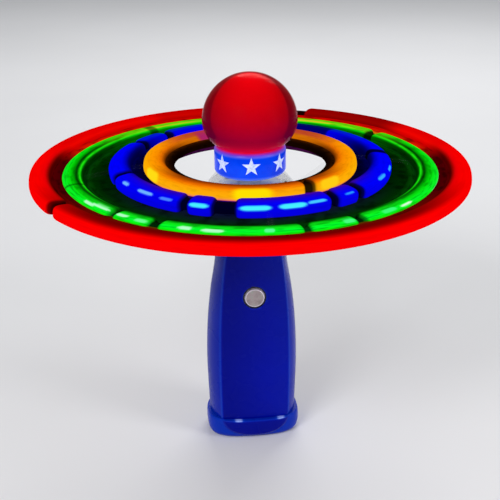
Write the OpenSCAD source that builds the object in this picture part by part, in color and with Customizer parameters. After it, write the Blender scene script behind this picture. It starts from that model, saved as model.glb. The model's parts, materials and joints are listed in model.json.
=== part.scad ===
/* [Handle] */
// Width of the grip at its widest
grip_w = 49.4; // [48:0.2:51]
// Depth of the grip at its deepest
grip_d = 33; // [32.6:0.2:35]
// Wall thickness of the two grip shells
wall = 2; // [1.6:0.1:2]
// Height of the base cap
cap_h = 12; // [11.6:0.1:12.2]
// Height of the top of the head plate
head_z = 136.5; // [136.3:0.1:137]

/* [Button] */
// Diameter of the push button
button_d = 10; // [8:0.5:10.5]
// Height of the push button's centre
button_z = 85.4; // [82:0.2:88]
// Travel of the push button
button_travel = 0.9; // [0.4:0.1:0.9]

/* [Power] */
// Diameter of one AAA cell
cell_d = 10.4; // [9.8:0.1:10.5]
// Length of one AAA cell with its nub
cell_len = 44.5; // [43.5:0.1:44.7]

/* [Rotor] */
// Outer radius of the turning rotor shell
rotor_r = 21.5; // [21.4:0.1:22]
// Module of the gear teeth
gear_module = 0.6; // [0.59:0.01:0.61]
// Play taken off each gear tooth
backlash = 0.12; // [0.1:0.01:0.2]

/* [Arms] */
// Radius at which the orange light turns
orange_r = 49.2; // [47:0.2:51]
// Radius at which the blue light turns
blue_r = 66.8; // [65:0.2:69]
// Radius at which the green light turns
green_r = 90.9; // [88:0.2:92]
// Radius at which the red light turns
red_r = 107.1; // [105:0.2:110]
// Length of one light capsule along the arm
capsule_len = 10.4; // [9:0.2:11]
// Diameter of one light capsule
capsule_d = 7; // [6.4:0.1:7.4]

/* [Globe] */
// Diameter of the globe
globe_d = 48.8; // [46:0.2:50]
// Diameter of the star collar
collar_d = 36.9; // [36.5:0.1:38]
// Height of the star collar
collar_h = 14.3; // [14:0.1:15]

/* [Hidden] */
ARMS = [1, 2, 3, 4];
LIGHTS = [["orange", orange_r], ["blue", blue_r], ["green", green_r], ["red", red_r]];
$fn = 48;
eps = 0.01;

// Grip: half widths and half depths up the handle, as shares of the widest place
GRIP_HALF_W = [[0, 0.960], [12, 0.964], [28, 0.986], [44, 1.0], [66, 0.968], [84, 0.891],
               [102, 0.777], [120, 0.735], [150, 0.729]];
GRIP_HALF_D = [[0, 0.97], [12, 0.982], [44, 1.0], [66, 0.97], [84, 0.935], [102, 0.885],
               [120, 0.90], [150, 0.97]];
grip_roundness = 3;
grip_rings = 24;
half_section_steps = 20;

// Base cap: height, half width and half depth from the floor up
CAP_RINGS = [[0, 22.6, 13.6], [0.6, 23.8, 14.9], [1.7, 24.6, 15.9], [3.2, 25.15, 16.6],
             [5.8, 25.5, 17.0], [8.3, 25.5, 17.2], [10.8, 25.3, 17.2], [cap_h, 24.8, 16.8]];
cap_wall = 2.2;
cap_spigot_h = 3;
cap_gap = 0.3;
cap_screw_y = 11;

// Grip screws: x, z and the length of each boss from the split to the wall
GRIP_BOSSES = [[19.9, 28, 9.2], [13.6, 98, 10.6]];
boss_r = 2.6;
screw_r = 1;
screw_head_r = 2;

// Cells and their tray
cell_pitch = 10.9;
tray_z = 15.6;
tray_plate = 1.4;
tray_half_w = 17.2;
spring_h = 2.4;
contact_t = 0.5;
cell_z = tray_z + tray_plate + spring_h;
tray_top = cell_z + cell_len + contact_t + tray_plate;

// Circuit board and switch behind the button
board_front_y = -9;
board_t = 1.4;
board_half_w = 10.4;
board_z = [68.5, 103];
lead_r = 0.6;
lead_sides = 8;
switch_front_y = -11.1;
plunger_r = 1.7;
plunger_tip_y = -11.6;

// Gears: the ring turns outside the pinion, both the same way
ring_teeth = 40;
pinion_teeth = 12;
pressure_angle = 20;
ring_pitch_r = gear_module * ring_teeth / 2;
pinion_pitch_r = gear_module * pinion_teeth / 2;
motor_x = ring_pitch_r - pinion_pitch_r;
gear_rim_r = 13.6;

// Heights up the head and the rotor
plate_t = 3;
plate_z = head_z - plate_t;
rotor_z = 138.2;
gear_web_z = 142.4;
gear_web_t = 1.4;
shell_top_z = 145;
cover_top_z = 148.7;
collar_z = 150.8;
collar_top_z = collar_z + collar_h;
spindle_r = 3.5;
spindle_bore_r = 1.9;
spindle_top_z = 158.5;
running_gap = 0.05;

// Motor: a can with two flats
motor_r = 7.75;
motor_half_flat = 6;
motor_bottom_z = 112.5;
shaft_r = 1;

// Arms: the pivot of each root and the line that the strand follows, as radius and height
pivot_r = 19.2;
pivot_z = 142.4;
pin_r = 0.8;
strand_w = 3;
STRAND_LINE = [[pivot_r, pivot_z], [24, 142.7], [31, 147], [40, 152.9], [orange_r, 155.7],
               [58, 155.5], [blue_r, 154.5], [79, 152.3], [green_r, 150.5], [red_r, 152.1],
               [red_r + 4, 152.5]];

// Globe: a ball that draws in to its neck
globe_z = 177.9;
globe_lower_h = 17.6;
globe_wall = 1.6;
neck_r = 15.5;

// Value of a smooth curve through [position, value] pairs
function smooth(pairs, at, i = 0) =
    (i >= len(pairs) - 2 || at < pairs[i + 1][0])
        ? let (a = pairs[max(i - 1, 0)], b = pairs[i], c = pairs[i + 1],
               d = pairs[min(i + 2, len(pairs) - 1)],
               span = c[0] - b[0],
               t = (at - b[0]) / span,
               slope_b = (c[1] - a[1]) / (c[0] - a[0]) * span,
               slope_c = (d[1] - b[1]) / (d[0] - b[0]) * span)
          (2 * t * t * t - 3 * t * t + 1) * b[1] + (t * t * t - 2 * t * t + t) * slope_b
          + (3 * t * t - 2 * t * t * t) * c[1] + (t * t * t - t * t) * slope_c
        : smooth(pairs, at, i + 1);

function grip_half_w(z) = smooth(GRIP_HALF_W, z) * grip_w / 2;
function grip_half_d(z) = smooth(GRIP_HALF_D, z) * grip_d / 2;

// A point of the oval section, for an angle round it
function signed_power(v, p) = sign(v) * pow(abs(v), p);
function oval_point(w, d, a) =
    [w * signed_power(cos(a), 2 / grip_roundness), d * signed_power(sin(a), 2 / grip_roundness)];

// Whole oval outline
function oval(w, d, steps = 2 * half_section_steps) =
    [for (i = [0 : steps - 1]) oval_point(w, d, 360 * i / steps)];

// One ring of a half shell: the outer curve out and the inner curve back, from side to side
function half_ring(z, w, d, side) =
    concat([for (i = [0 : half_section_steps])
                concat(oval_point(w, d, side * (-180 + 180 * i / half_section_steps)), [z])],
           [for (i = [half_section_steps : -1 : 0])
                concat(oval_point(w - wall, d - wall,
                                  side * (-180 + 180 * i / half_section_steps)), [z])]);

// Side faces between the rings of a loft, as triangles
function loft_sides(rings, count) =
    [for (r = [0 : rings - 2], i = [0 : count - 1], half = [0, 1])
        let (a = r * count + i, b = r * count + (i + 1) % count, c = a + count, d = b + count)
        half == 0 ? [a, c, b] : [b, c, d]];

// One half of the grip's wall, from the base cap to the head; side is 1 in front and -1 behind
module half_grip(side) {
    low = cap_h;
    rings = [for (i = [0 : grip_rings])
        let (z = low + (head_z - low) * i / grip_rings)
        half_ring(z, grip_half_w(z), grip_half_d(z), side)];
    count = len(rings[0]);
    last = grip_rings * count;
    ends = [for (i = [0 : half_section_steps - 1])
        let (a = i, b = i + 1, c = count - 1 - i, d = count - 2 - i)
        each [[a, b, c], [b, d, c], [last + a, last + c, last + b], [last + b, last + c, last + d]]];
    faces = concat(loft_sides(grip_rings + 1, count), ends);
    polyhedron(points = [for (ring = rings) each ring],
               faces = side > 0 ? faces : [for (f = faces) [f[2], f[1], f[0]]],
               convexity = 6);
}

// A closed solid lofted through oval rings of [height, half width, half depth]
module oval_loft(sizes) {
    steps = 2 * half_section_steps;
    rings = [for (s = sizes) [for (p = oval(s[1], s[2])) [p[0], p[1], s[0]]]];
    last = (len(sizes) - 1) * steps;
    ends = [for (i = [1 : steps - 2]) each [[0, i, i + 1], [last, last + i + 1, last + i]]];
    polyhedron(points = [for (ring = rings) each ring],
               faces = concat(loft_sides(len(sizes), steps), ends), convexity = 4);
}

// A round lead swept through a list of points, with a ring of lead_sides at each
module lead(points, r) {
    last = len(points) - 1;
    rings = [for (i = [0 : last])
        let (way = points[min(i + 1, last)] - points[max(i - 1, 0)],
             across = cross(way, [1, 0, 0]) / norm(cross(way, [1, 0, 0])),
             third = cross(way, across) / norm(way))
        [for (s = [0 : lead_sides - 1])
            points[i] + r * (cos(360 * s / lead_sides) * across
                             + sin(360 * s / lead_sides) * third)]];
    ends = [for (s = [1 : lead_sides - 2])
        let (top = last * lead_sides)
        each [[0, s, s + 1], [top, top + s + 1, top + s]]];
    polyhedron(points = [for (ring = rings) each ring],
               faces = concat(loft_sides(last + 1, lead_sides), ends), convexity = 4);
}

// A bar along Y from y0 to y1
module y_bar(x, z, y0, y1, r) {
    translate([x, y0, z])
        rotate([-90, 0, 0])
            cylinder(h = y1 - y0, r = r);
}

// A flat washer or tube about Z
module tube(r_out, r_in, h) {
    difference() {
        cylinder(h = h, r = r_out);
        translate([0, 0, -1])
            cylinder(h = h + 2, r = r_in);
    }
}

module at_arm(k) {
    rotate(90 * (k - 1))
        children();
}

// Seats that carry the head plate; y_sign is -1 in front and 1 behind
module plate_seats(y_sign) {
    seat_h = 2;
    in_w = grip_half_w(plate_z) - wall;
    in_d = grip_half_d(plate_z) - wall;
    translate([-2, y_sign > 0 ? in_d - 1.2 : -in_d - 1, plate_z - seat_h])
        cube([4, 2.2, seat_h]);
    for (x = [-in_w - 1, in_w - 1.1])
        translate([x, y_sign > 0 ? 1 : -4, plate_z - seat_h])
            cube([2.1, 3, seat_h]);
}

// Ribs that hold the battery tray; y0 and y1 are their ends
module tray_ribs(y0, y1) {
    for (x = [-9, 9])
        translate([x - 0.6, y0, 30])
            cube([1.2, y1 - y0, 25]);
}

module handle_front_shell() {
    post_zs = [board_z[0] + 2.5, board_z[1] - 3];
    color("#10239a")
        difference() {
            union() {
                half_grip(1);
                for (boss = GRIP_BOSSES, side = [-1, 1])
                    y_bar(side * boss[0], boss[1], -boss[2], 0, boss_r);
                for (z = post_zs) {
                    y_bar(0, z, -grip_half_d(z) + 1, board_front_y, 1.8);
                    y_bar(0, z, -grip_half_d(z) + 1, board_front_y + board_t + 0.3, 1);
                }
                tray_ribs(-15.2, -6);
                plate_seats(-1);
            }
            for (boss = GRIP_BOSSES, side = [-1, 1])
                y_bar(side * boss[0], boss[1], -7, 1, screw_r);
            y_bar(0, button_z, -20, -10, button_d / 2 + 0.3);
            y_bar(0, button_z, -20, -grip_half_d(button_z) + 0.5, button_d / 2 + 0.9);
        }
}

module handle_rear_shell() {
    color("#10239a")
        difference() {
            union() {
                half_grip(-1);
                for (boss = GRIP_BOSSES, side = [-1, 1])
                    y_bar(side * boss[0], boss[1], 0, boss[2], boss_r);
                translate([-3.6, cap_screw_y - 2.6, cap_h + 0.5])
                    cube([7.2, 6.6, 11.5]);
                tray_ribs(7.5, 15.2);
                plate_seats(1);
            }
            for (boss = GRIP_BOSSES, side = [-1, 1]) {
                y_bar(side * boss[0], boss[1], -1, 20, screw_r);
                y_bar(side * boss[0], boss[1], boss[2] - 0.8, 20, screw_head_r + 0.2);
            }
            translate([0, cap_screw_y, cap_h])
                cylinder(h = 9, r = screw_r + running_gap);
        }
}

// A screw along Y with its head on the +Y end
module y_screw(x, z, tip_y, seat_y) {
    difference() {
        union() {
            y_bar(x, z, tip_y, seat_y + eps, screw_r);
            y_bar(x, z, seat_y, seat_y + 1.5, screw_head_r);
        }
        for (turn = [0, 90])
            translate([x, seat_y + 1.2, z])
                rotate([0, turn, 0])
                    cube([2.4, 1.6, 0.5], center = true);
    }
}

module handle_screws() {
    color("#b9bcc2")
        for (boss = GRIP_BOSSES, side = [-1, 1])
            y_screw(side * boss[0], boss[1], -7, boss[2] - 0.8);
}

module base_cap() {
    spigot_w = grip_half_w(cap_h) - wall - cap_gap;
    spigot_d = grip_half_d(cap_h) - wall - cap_gap;
    color("#10239a")
        difference() {
            union() {
                difference() {
                    oval_loft(CAP_RINGS);
                    translate([0, 0, cap_wall])
                        linear_extrude(cap_h)
                            polygon(oval(spigot_w - 1.4, spigot_d - 1.4));
                }
                translate([0, 0, cap_h - 1])
                    linear_extrude(cap_spigot_h + 1)
                        difference() {
                            polygon(oval(spigot_w, spigot_d));
                            polygon(oval(spigot_w - 1.4, spigot_d - 1.4));
                            translate([-4.2, cap_screw_y - 3.2])
                                square([8.4, 8]);
                        }
                translate([0, cap_screw_y, 1])
                    cylinder(h = cap_h - 1, r = 3);
            }
            translate([0, cap_screw_y, -1])
                cylinder(h = 20, r = screw_r + 0.1);
            translate([0, cap_screw_y, -1])
                cylinder(h = 3, r = screw_head_r + 0.2);
        }
}

module base_cap_screw() {
    color("#b9bcc2")
        difference() {
            translate([0, cap_screw_y, 0]) {
                translate([0, 0, 0.4])
                    cylinder(h = 1.6, r = screw_head_r);
                translate([0, 0, 2 - eps])
                    cylinder(h = 17.5, r = screw_r);
            }
            for (turn = [0, 90])
                translate([0, cap_screw_y, 0.4])
                    rotate(turn)
                        cube([2.4, 0.5, 1.4], center = true);
        }
}

module battery_tray() {
    back_y = 6;
    color("#20232a")
        difference() {
            translate([-tray_half_w, -5.6, tray_z])
                cube([2 * tray_half_w, back_y + tray_plate + 5.6, tray_top - tray_z]);
            translate([-tray_half_w + 0.8, -10, tray_z + tray_plate])
                cube([2 * tray_half_w - 1.6, back_y + 10, tray_top - tray_z - 2 * tray_plate]);
            for (x = [-1, 0, 1])
                translate([x * cell_pitch - 3, 0, tray_z + 12])
                    cube([6, 20, 26]);
        }
}

// One cell, with its nub up or down
module battery(x, nub_up) {
    nub_h = 1;
    color("#c8a24a")
        translate([x, 0, cell_z + (nub_up ? 0 : cell_len)])
            rotate([nub_up ? 0 : 180, 0, 0])
                rotate_extrude()
                    polygon([[0, 0], [cell_d / 2 - 0.5, 0], [cell_d / 2, 0.5],
                             [cell_d / 2, cell_len - nub_h - 0.6],
                             [cell_d / 2 - 0.6, cell_len - nub_h], [1.9, cell_len - nub_h],
                             [1.9, cell_len], [0, cell_len]]);
}

module battery_1() {
    battery(-cell_pitch, true);
}

module battery_2() {
    battery(0, false);
}

module battery_3() {
    battery(cell_pitch, true);
}

module battery_contacts() {
    color("#c9ccd0")
        for (x = [-1, 0, 1])
            translate([x * cell_pitch - 4, -4, tray_top - tray_plate - contact_t])
                cube([8, 8, contact_t]);
}

// Each spring is a narrowing stack of wire rings under its cell
module battery_springs() {
    wire_r = 0.4;
    color("#c9ccd0")
        for (x = [-1, 0, 1])
            translate([x * cell_pitch, 0, tray_z + tray_plate])
                for (turn = [0 : 2])
                    translate([0, 0, wire_r + turn * 2 * wire_r])
                        rotate_extrude()
                            translate([3.4 - 0.7 * turn, 0])
                                circle(r = wire_r);
}

module circuit_board() {
    back_y = board_front_y + board_t;
    color("#1c6b3a")
        difference() {
            union() {
                translate([-board_half_w, board_front_y, board_z[0]])
                    cube([2 * board_half_w, board_t, board_z[1] - board_z[0]]);
                translate([3, board_front_y - 1.2, board_z[0] + 4])
                    cube([5, 1.3, 6]);
                for (x = [-8, -5.5, 5.5])
                    translate([x, board_front_y - 0.6, board_z[1] - 6])
                        cube([1.2, 0.7, 2.4]);
            }
            for (z = [board_z[0] + 2.5, board_z[1] - 3])
                y_bar(0, z, board_front_y - 1, back_y + 1, 1);
        }
}

module tact_switch() {
    side = 6;
    color("#3a3d42")
        difference() {
            translate([-side / 2, switch_front_y, button_z - side / 2])
                cube([side, board_front_y - switch_front_y, side]);
            y_bar(0, button_z, switch_front_y - 1, board_front_y - 0.2, plunger_r + running_gap);
        }
}

module switch_plunger() {
    color("#1a1a1c")
        y_bar(0, button_z, plunger_tip_y, board_front_y - 0.3 - button_travel, plunger_r);
}

module button() {
    flange_y = -grip_half_d(button_z) + wall + 0.55;
    flange_t = 0.7;
    proud = 0.9;
    front = -grip_half_d(button_z) - proud;
    dish = 24;
    color("#8b8c90")
        translate([0, 0, button_z])
            rotate([90, 0, 0])
                rotate_extrude()
                    difference() {
                        polygon([[0, -plunger_tip_y], [1.6, -plunger_tip_y],
                                 [1.6, -flange_y - flange_t],
                                 [button_d / 2 + 1.1, -flange_y - flange_t],
                                 [button_d / 2 + 1.1, -flange_y], [button_d / 2, -flange_y],
                                 [button_d / 2, -front - 0.6], [button_d / 2 - 0.6, -front],
                                 [0, -front]]);
                        translate([0, -front + dish - 0.35])
                            circle(r = dish, $fn = 96);
                    }
}

// Outline of the motor: a circle with two flats
module motor_outline(r, half_flat) {
    intersection() {
        circle(r = r);
        square([2 * half_flat, 4 * r], center = true);
    }
}

module motor_can() {
    boss_h = 1.4;
    color("#a9adb3")
        translate([motor_x, 0, 0])
            difference() {
                union() {
                    translate([0, 0, motor_bottom_z])
                        linear_extrude(plate_z - motor_bottom_z)
                            motor_outline(motor_r, motor_half_flat);
                    translate([0, 0, plate_z - 0.4])
                        cylinder(h = boss_h + 0.4, r = 2.5);
                }
                translate([0, 0, motor_bottom_z - 1])
                    linear_extrude(plate_z - motor_bottom_z + 0.2)
                        motor_outline(motor_r - 0.8, motor_half_flat - 0.7);
                cylinder(h = 200, r = shaft_r + running_gap);
                for (y = [-5.6, 5.6])
                    translate([0, y, plate_z - 2])
                        cylinder(h = 3, r = 0.9);
            }
}

module motor_end_cap() {
    cap_t = 2;
    color("#232427")
        translate([motor_x, 0, motor_bottom_z - cap_t])
            difference() {
                union() {
                    linear_extrude(cap_t)
                        motor_outline(motor_r, motor_half_flat);
                    translate([0, 0, -1.2])
                        cylinder(h = 1.3, r = 2.2);
                    for (y = [-4.6, 4.6])
                        translate([-1.2, y - 0.25, -3.6])
                            cube([2.4, 0.5, 3.7]);
                }
                translate([0, 0, -5])
                    cylinder(h = 20, r = shaft_r + running_gap);
            }
}

module motor_armature() {
    color("#b87333")
        translate([motor_x, 0, 0])
            union() {
                translate([0, 0, motor_bottom_z - 3])
                    cylinder(h = gear_web_z - 0.3 - motor_bottom_z + 3, r = shaft_r);
                translate([0, 0, motor_bottom_z + 3])
                    difference() {
                        cylinder(h = 13, r = 4.6);
                        for (a = [0, 120, 240])
                            rotate(a)
                                translate([4.9, 0, -1])
                                    cylinder(h = 15, r = 1.2);
                    }
            }
}

module motor_screws() {
    color("#b9bcc2")
        for (y = [-5.6, 5.6])
            translate([motor_x, y, 0]) {
                translate([0, 0, plate_z - 0.7])
                    cylinder(h = plate_t + 0.7 + eps, r = 0.9);
                translate([0, 0, head_z])
                    cylinder(h = 0.9, r = 1.8);
            }
}

// Involute angle at a radius, in degrees
function involute(base_r, r) =
    let (a = acos(min(1, base_r / r)))
    tan(a) * 180 / PI - a;

// Half angle of a tooth, or of an internal gear's gap, at radius r
function tooth_half_angle(teeth, r, half_angle_at_pitch) =
    let (pitch_r = gear_module * teeth / 2, base_r = pitch_r * cos(pressure_angle))
    half_angle_at_pitch + involute(base_r, pitch_r) - involute(base_r, max(r, base_r));

// Outline of a gear whose teeth run from r_low to r_high; extra widens the teeth in degrees
function gear_outline(teeth, r_low, r_high, extra, steps = 4) =
    [for (i = [0 : teeth - 1])
        let (mid = 360 * i / teeth, half = 90 / teeth + extra)
        each concat(
            [for (s = [0 : steps])
                let (r = r_low + (r_high - r_low) * s / steps,
                     a = mid - tooth_half_angle(teeth, r, half))
                r * [cos(a), sin(a)]],
            [for (s = [steps : -1 : 0])
                let (r = r_low + (r_high - r_low) * s / steps,
                     a = mid + tooth_half_angle(teeth, r, half))
                r * [cos(a), sin(a)]])];

module pinion() {
    play = -backlash / 2 / pinion_pitch_r * 180 / PI;
    color("#f2f0e6")
        translate([motor_x, 0, rotor_z + 0.3])
            difference() {
                linear_extrude(gear_web_z - rotor_z - 0.7)
                    polygon(gear_outline(pinion_teeth, pinion_pitch_r - 1.2 * gear_module,
                                         pinion_pitch_r + 0.8 * gear_module, play));
                translate([0, 0, -1])
                    cylinder(h = 10, r = shaft_r);
            }
}

module rotor_gear() {
    play = backlash / 2 / ring_pitch_r * 180 / PI;
    color("#f2f0e6")
        difference() {
            union() {
                translate([0, 0, rotor_z])
                    linear_extrude(gear_web_z - rotor_z + eps)
                        difference() {
                            circle(r = gear_rim_r);
                            polygon(gear_outline(ring_teeth, ring_pitch_r - 0.8 * gear_module,
                                                 ring_pitch_r + 1.2 * gear_module, play));
                        }
                translate([0, 0, gear_web_z])
                    cylinder(h = gear_web_t, r = 16.9);
                translate([0, 0, gear_web_z])
                    cylinder(h = cover_top_z - 1.1 - gear_web_z, r = 5.8);
            }
            translate([0, 0, rotor_z - 1])
                cylinder(h = 20, r = 4.6);
            at_rotor_screws()
                translate([0, 0, gear_web_z - 1])
                    cylinder(h = 4, r = 0.7);
        }
}

module at_rotor_screws() {
    for (a = [45 : 90 : 315])
        rotate(a)
            translate([15.3, 0, 0])
                children();
}

module rotor_bush() {
    color("#c9973f")
        translate([0, 0, gear_web_z])
            tube(4.6, spindle_r + running_gap, cover_top_z - 0.9 - gear_web_z);
}

module rotor_shell() {
    floor_t = 1.4;
    lug_t = 1.45;
    color("#dfe4ee")
        difference() {
            union() {
                translate([0, 0, rotor_z])
                    tube(rotor_r, gear_rim_r + 0.1, floor_t);
                translate([0, 0, rotor_z - 3.2])
                    tube(rotor_r, 20, shell_top_z - rotor_z + 3.2);
                at_rotor_screws()
                    translate([0, 0, rotor_z])
                        cylinder(h = gear_web_z - rotor_z, r = 1.4);
                for (k = ARMS)
                    at_arm(k)
                        for (y = [1.85, -1.85 - lug_t])
                            translate([17.2, y, rotor_z + 1])
                                cube([3.4, lug_t, 5]);
            }
            at_rotor_screws()
                translate([0, 0, rotor_z + 1])
                    cylinder(h = 10, r = 0.7);
            for (k = ARMS)
                at_arm(k) {
                    y_bar(pivot_r, pivot_z, -3.3, 3.3, pin_r);
                    translate([19.5, -1.85, pivot_z - 2.6])
                        cube([4, 3.7, 10]);
                }
        }
}

module rotor_cover() {
    lip = 1.4;
    color("#e9edf5")
        rotate_extrude()
            polygon([[22, shell_top_z], [18.9, cover_top_z], [6.3, cover_top_z],
                     [6.3, cover_top_z - 1], [18.3, cover_top_z - 1], [22 - lip, shell_top_z]]);
}

module rotor_screws() {
    color("#b9bcc2")
        at_rotor_screws() {
            translate([0, 0, rotor_z + 1.6])
                cylinder(h = gear_web_z + gear_web_t - rotor_z - 1.6 + eps, r = 0.7);
            translate([0, 0, gear_web_z + gear_web_t])
                cylinder(h = 0.8, r = 1.35);
        }
}

module slip_rings() {
    color("#c98a4b")
        translate([0, 0, rotor_z - 0.2]) {
            tube(14.9, 13.9, 0.2);
            tube(16.3, 15.3, 0.2);
        }
}

// Two bent leaves on the head plate, each up against its own ring
module brushes() {
    color("#c98a4b")
        for (b = [[1, 13.2, 14.2], [-1, 14.9, 15.7]])
            translate([0, b[0] * 4 + 0.6, 0])
                rotate([90, 0, 0])
                    linear_extrude(1.2)
                        polygon([[-8, head_z], [-10, head_z], [-b[1] + 0.3, rotor_z - 0.75],
                                 [-b[2], rotor_z - 0.75], [-b[2], rotor_z - 0.25],
                                 [-b[1], rotor_z - 0.25], [-9.8, head_z + 0.4],
                                 [-8, head_z + 0.4]]);
}

module arm_pins() {
    color("#b9bcc2")
        for (k = ARMS)
            at_arm(k)
                y_bar(pivot_r, pivot_z, -3.3, 3.3, pin_r);
}

module head_plate() {
    fit = 0.1;
    color("#20232a")
        translate([0, 0, plate_z])
            difference() {
                linear_extrude(plate_t)
                    polygon(oval(grip_half_w(plate_z) - wall - fit,
                                 grip_half_d(plate_z) - wall - fit));
                translate([0, 0, -1])
                    cylinder(h = 5, r = spindle_r);
                translate([motor_x, 0, -1])
                    cylinder(h = 5, r = 2.5);
                for (y = [-5.6, 5.6])
                    translate([motor_x, y, -1])
                        cylinder(h = 5, r = 0.9);
            }
}

module spindle() {
    flange_t = 1.1;
    color("#a9adb3")
        difference() {
            union() {
                translate([0, 0, plate_z])
                    cylinder(h = spindle_top_z - plate_z, r = spindle_r);
                translate([0, 0, head_z])
                    cylinder(h = flange_t, r = 5.8);
            }
            translate([0, 0, plate_z - 1])
                cylinder(h = 40, r = spindle_bore_r);
            translate([0, 0, cover_top_z - 0.75])
                tube(10, 2.9, 0.6);
        }
}

module spindle_clip() {
    color("#55585e")
        difference() {
            translate([0, 0, cover_top_z - 0.75])
                tube(5.4, 2.9, 0.6);
            translate([0, -1.1, cover_top_z - 2])
                cube([8, 2.2, 4]);
        }
}

module collar() {
    corner = 2;
    inner_r = neck_r + 0.1;
    outer_r = collar_d / 2;
    color("#1440dc")
        difference() {
            translate([0, 0, collar_z])
                rotate_extrude()
                    polygon(concat(
                        [[0, 0]],
                        [for (a = [-90 : 15 : 0])
                            [outer_r - corner + corner * cos(a), corner + corner * sin(a)]],
                        [for (a = [0 : 15 : 90])
                            [outer_r - corner + corner * cos(a),
                             collar_h - corner + corner * sin(a)]],
                        [[inner_r, collar_h], [inner_r, 1.7], [0, 1.7]]));
            translate([0, 0, collar_z - 1])
                cylinder(h = 5, r = spindle_r);
        }
}

// Radius of the globe, made smaller by inset, at a height below its middle
function globe_lower_r(below, inset) =
    (globe_d / 2 - inset) * sqrt(1 - pow(below / (globe_lower_h - inset), 2));

module globe() {
    steps = 12;
    lip_z = collar_top_z;
    below = globe_z - lip_z - 0.4;
    outer = concat(
        [for (i = [steps : -1 : 0])
            let (h = below * i / steps)
            [globe_lower_r(h, 0), globe_z - h]],
        [for (a = [7.5 : 7.5 : 82.5]) [globe_d / 2 * cos(a), globe_z + globe_d / 2 * sin(a)]],
        [[0, globe_z + globe_d / 2]]);
    inner_r = globe_d / 2 - globe_wall;
    inner_below = below - 0.8;
    inner = concat(
        [[0, globe_z + inner_r]],
        [for (a = [82.5 : -7.5 : 7.5]) [inner_r * cos(a), globe_z + inner_r * sin(a)]],
        [for (i = [0 : steps])
            let (h = inner_below * i / steps)
            [globe_lower_r(h, globe_wall), globe_z - h]]);
    neck = [[neck_r - 1.5, globe_z - inner_below], [neck_r - 1.5, lip_z - 3.6],
            [neck_r, lip_z - 3.6], [neck_r, lip_z], [neck_r + 1.6, lip_z]];
    color("#d8121c")
        rotate_extrude()
            polygon(concat(outer, inner, neck));
}

module globe_board() {
    color("#1c6b3a")
        translate([0, 0, spindle_top_z])
            tube(13.8, spindle_bore_r, 1.2);
}

module globe_leds() {
    led_r = 2.5;
    color("#ff5048")
        for (a = [90, 210, 330])
            rotate(a)
                translate([7, 0, spindle_top_z + 1.2])
                    rotate_extrude()
                        polygon(concat([[0, 0], [led_r + 0.4, 0], [led_r + 0.4, 1], [led_r, 1]],
                                       [for (t = [0 : 15 : 90])
                                           [led_r * cos(t), 3.6 + led_r * sin(t)]]));
}

// Leads from the tray to the board, from the board to the motor, and up the spindle
module wiring() {
    board_y = board_front_y + board_t / 2;
    color("#c03030") {
        for (x = [-8, 8])
            lead([[x, board_y + 2.4, tray_top], [x, board_y + 2.4, tray_top + 0.6],
                  [x, board_y, board_z[0] - 0.8], [x, board_y, board_z[0]]], lead_r);
        for (side = [-1, 1])
            lead([[side - 6, board_y, board_z[1]], [side - 6, board_y, 104.6],
                  [side - 4.8, -5, 107.6], [side - 2, -1.6, 111.4], [side * 0.9, -0.2, 115.4],
                  [side * 0.9, 0, 120], [side * 0.9, 0, spindle_top_z]], lead_r);
        lead([[5, board_y, board_z[1]], [5, board_y, 104.4], [6, -7.4, 106.4],
              [motor_x, -6.4, 107.2], [motor_x, -4.85 - lead_r, 107.8]], lead_r);
        lead([[7.6, board_y, board_z[1]], [7.6, board_y, 103.8], [8.2, -6, 104.9],
              [9, -1, 105.2], [9, 3, 105.6], [motor_x, 4.6, 106.4],
              [motor_x, 4.6, motor_bottom_z - 5.6]], lead_r);
    }
}

// Height of the strand's middle, its slope and its half thickness at a radius
function strand_z(r) = smooth(STRAND_LINE, r);
function strand_slope(r) = atan2(strand_z(r + 0.5) - strand_z(r - 0.5), 1);
function strand_half_t(r) = 0.8 + 0.4 * max(0, 1 - (r - pivot_r) / 12);

// The strand of the arm that points along +X, made thicker all round by gap
module strand_body(gap) {
    strand_start = pivot_r + 0.6;
    strand_end = red_r + 3.6;
    stops = [for (i = [0 : 44]) strand_start + (strand_end - strand_start) * i / 44];
    translate([0, strand_w / 2 + gap, 0])
        rotate([90, 0, 0])
            linear_extrude(strand_w + 2 * gap)
                polygon(concat(
                    [for (r = stops) [r, strand_z(r) - strand_half_t(r) - gap]],
                    [for (i = [len(stops) - 1 : -1 : 0])
                        let (r = stops[i])
                        [r, strand_z(r) + strand_half_t(r) + gap]]));
}

module arm_strand(k) {
    color("#e9edf5")
        at_arm(k)
            difference() {
                union() {
                    strand_body(0);
                    y_bar(pivot_r, pivot_z, -1.6, 1.6, 1.8);
                }
                y_bar(pivot_r, pivot_z, -3, 3, pin_r + running_gap);
            }
}

// Turns its children to lie along the strand at a radius
module on_strand(k, r) {
    at_arm(k)
        translate([r, 0, strand_z(r)])
            rotate([0, -strand_slope(r), 0])
                children();
}

// A clear round-ended capsule threaded on the strand, with a hollow for its chip
module arm_capsule(k, light) {
    half = capsule_len / 2;
    r = capsule_d / 2;
    round_r = 2.6;
    color(light[0] == "orange" ? "#ffb020" : light[0] == "blue" ? "#2040ff"
          : light[0] == "green" ? "#20e040" : "#f01818")
        difference() {
            on_strand(k, light[1])
                rotate([0, 90, 0])
                    difference() {
                        rotate_extrude()
                            polygon(concat(
                                [[0, -half]],
                                [for (a = [-90 : 18 : 0])
                                    [r - round_r + round_r * cos(a),
                                     -half + round_r + round_r * sin(a)]],
                                [for (a = [0 : 18 : 90])
                                    [r - round_r + round_r * cos(a),
                                     half - round_r + round_r * sin(a)]],
                                [[0, half]]));
                        cylinder(h = capsule_len - 3.4, r = r - 1, center = true);
                    }
            at_arm(k)
                strand_body(running_gap);
        }
}

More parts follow.
